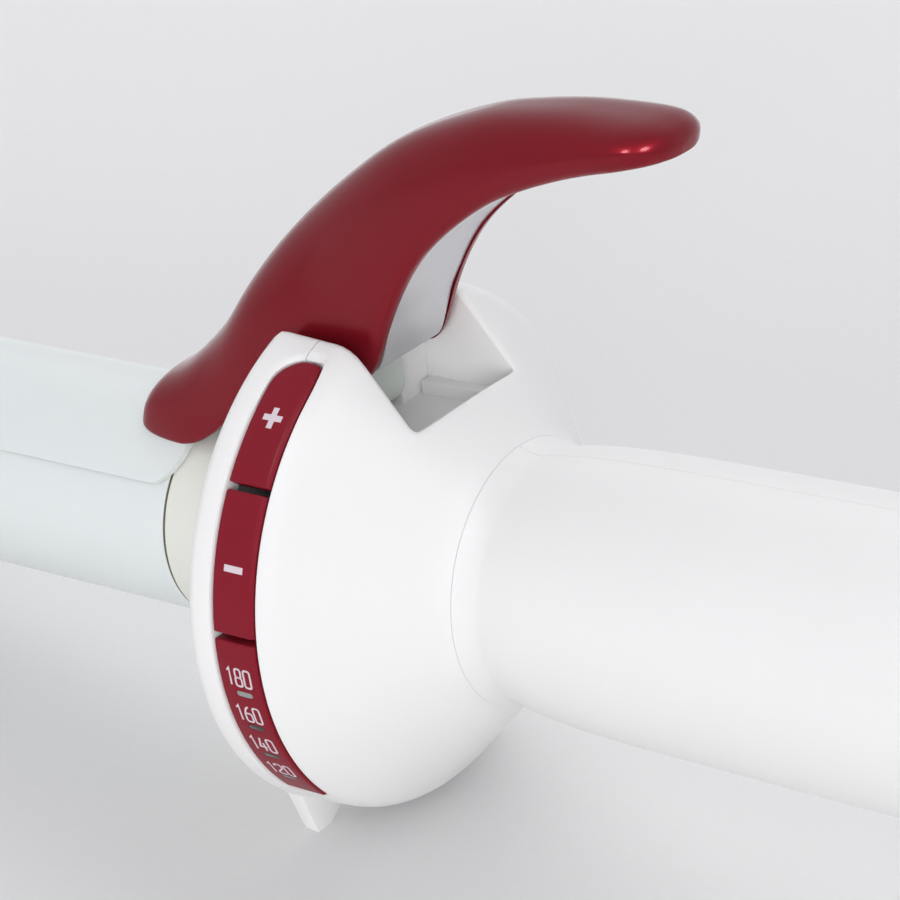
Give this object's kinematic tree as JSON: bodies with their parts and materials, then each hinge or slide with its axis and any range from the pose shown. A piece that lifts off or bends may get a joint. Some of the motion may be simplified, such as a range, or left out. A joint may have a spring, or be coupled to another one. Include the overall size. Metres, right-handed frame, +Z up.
{
  "type": "curling iron",
  "caption": "Curling iron with a heated barrel, a spring clamp opened by an arched thumb lever, a round hub with temperature keys and a scale, and a grip with a swivelling cord gland.",
  "frame": {"origin": "middle of the table area that the iron covers, at the table's surface, with the iron lying on its feet and cool tip", "axes": "+Z up from the table, +X along the iron from the cool tip towards the cord gland, +Y to the side away from the keys"},
  "size_m": [0.3142, 0.062, 0.0903],
  "materials": {
    "white_shell": "satin moulded white plastic",
    "barrel_coating": "smooth pale ceramic coating with a cool tint",
    "cream_resin": "cream heat-resistant resin",
    "red_lacquer": "dark metallic red lacquer under a clear coat",
    "silver_plate": "fine matt silver foil",
    "arm_resin": "pale resin",
    "spring_steel": "plain drawn steel",
    "cast_aluminium": "cast aluminium",
    "white_ceramic": "fired white ceramic",
    "copper": "bare copper",
    "brass": "stamped brass",
    "board_green": "green solder mask",
    "black_resin": "black moulded resin",
    "clear_window": "clear moulded window",
    "can_blue": "dark blue sleeve",
    "tape_yellow": "yellow winding tape"
  },
  "bodies": {
    "iron": {"barrel_tube": "barrel_coating", "tip_cap": "white_shell", "barrel_collar": "cream_resin", "heat_spreader_upper": "cast_aluminium", "heat_spreader_lower": "cast_aluminium", "heater_plate": "white_ceramic", "thermistor": "black_resin", "heater_leads": "copper", "lead_terminals": "brass", "hub_front_shell": "white_shell", "hub_rear_shell": "white_shell", "hub_screws": "spring_steel", "scale_panel": "red_lacquer", "light_guides": "clear_window", "indicator_lights": "white_ceramic", "control_board": "board_green", "key_switches": "black_resin", "pivot_pin": "spring_steel", "torsion_spring": "spring_steel", "handle_left_shell": "white_shell", "handle_right_shell": "white_shell", "handle_screws": "spring_steel", "main_board": "board_green", "filter_capacitor": "can_blue", "board_transformer": "tape_yellow", "power_triac": "black_resin", "board_fuse": "clear_window", "brush_holder": "black_resin", "contact_brushes": "copper"},
    "lever": {"lever_shell": "red_lacquer", "lever_arm": "arm_resin", "lever_liner": "silver_plate", "clamp_plate": "barrel_coating", "clamp_rivets": "spring_steel"},
    "plus_key": {"plus_key": "red_lacquer"},
    "minus_key": {"minus_key": "red_lacquer"},
    "gland": {"cord_gland": "white_shell", "slip_rings": "brass"}
  },
  "joints": [
    {"name": "lever_press", "type": "hinge", "parent": "iron", "child": "lever", "pos_m": [0.01793, 0, 0.0502], "axis": [0, 1, 0], "range_deg": [0, 28], "stiffness_Nm_per_rad": 0.6, "springref_deg": -20.05},
    {"name": "plus_press", "type": "slide", "parent": "iron", "child": "plus_key", "axis": [0.0828, 0.6468, -0.7582], "range_m": [0, 0.0006], "stiffness_N_per_m": 1500, "springref_m": -0.0004},
    {"name": "minus_press", "type": "slide", "parent": "iron", "child": "minus_key", "axis": [0.0358, 0.9441, -0.3277], "range_m": [0, 0.0006], "stiffness_N_per_m": 1500, "springref_m": -0.0004},
    {"name": "gland_swivel", "type": "hinge", "parent": "iron", "child": "gland", "pos_m": [0.14361, 0, 0.04476], "axis": [0.9941, 0, 0.1086], "continuous": true}
  ]
}
